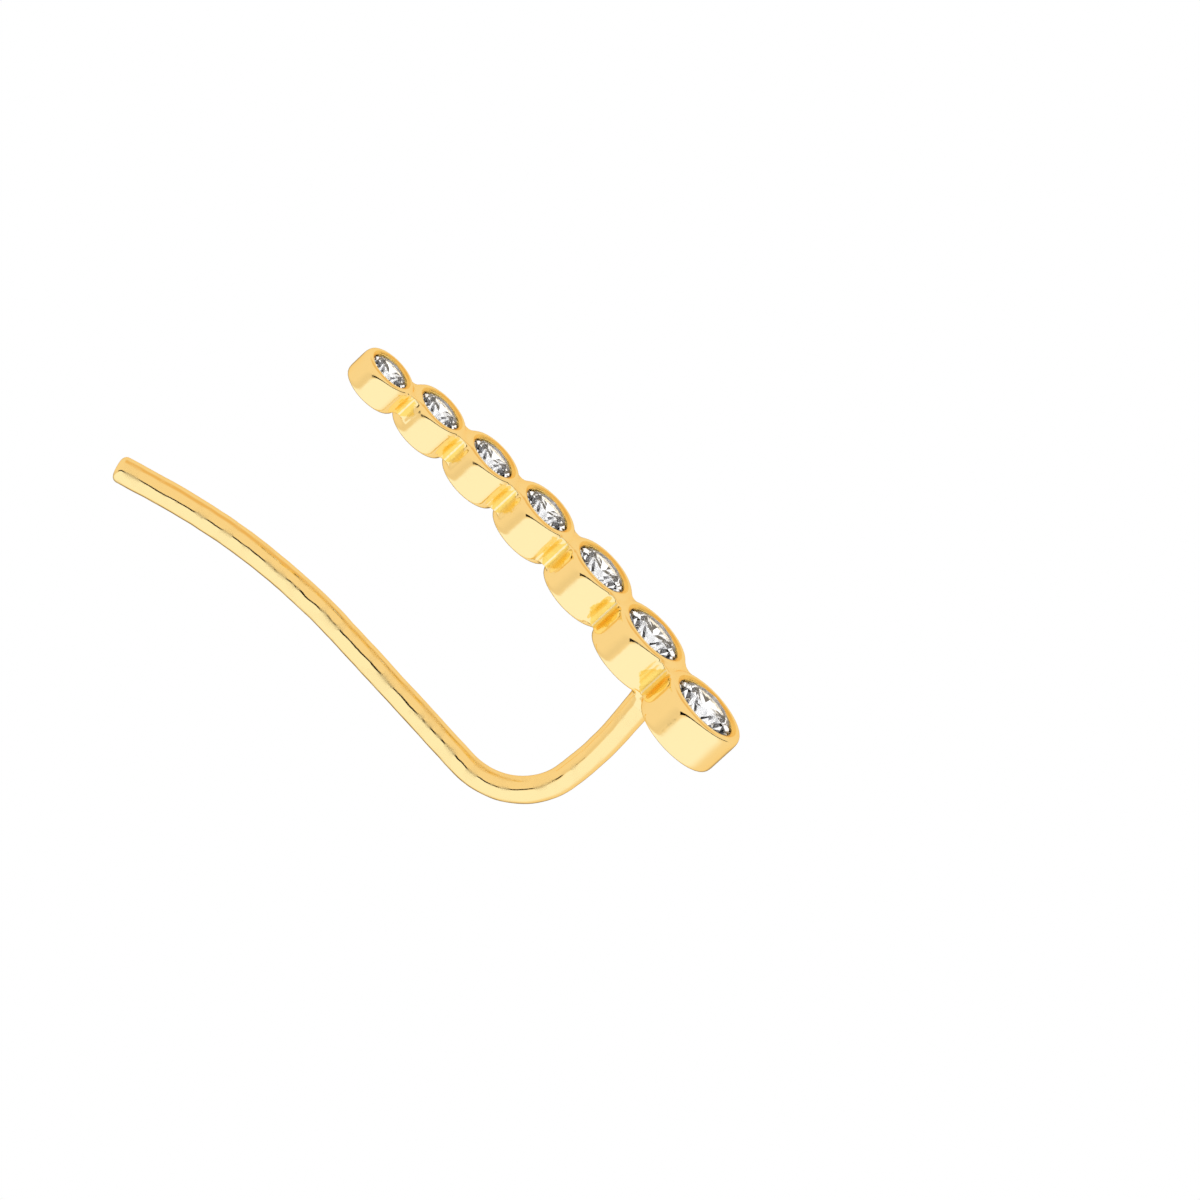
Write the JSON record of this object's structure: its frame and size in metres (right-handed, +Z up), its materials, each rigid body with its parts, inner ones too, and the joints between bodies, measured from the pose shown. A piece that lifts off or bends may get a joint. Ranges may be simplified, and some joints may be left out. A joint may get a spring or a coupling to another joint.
{
  "type": "ear climber",
  "caption": "Curved row of graduated round bezel settings with clear stones on a bent ear wire, worn along the edge of the ear.",
  "frame": {"origin": "middle of the bounding box at the surface that the piece lies on", "axes": "+X along the row towards the largest setting, +Y from the ear wire towards the stones' faces, +Z up"},
  "size_m": [0.0212, 0.0108, 0.0051],
  "materials": {
    "gold": "polished yellow gold",
    "stone": "clear colourless gem, cut and polished"
  },
  "bodies": {
    "root": {"row_and_ear_wire": "gold", "stone_1": "stone", "stone_2": "stone", "stone_3": "stone", "stone_4": "stone", "stone_5": "stone", "stone_6": "stone", "stone_7": "stone"}
  },
  "joints": []
}
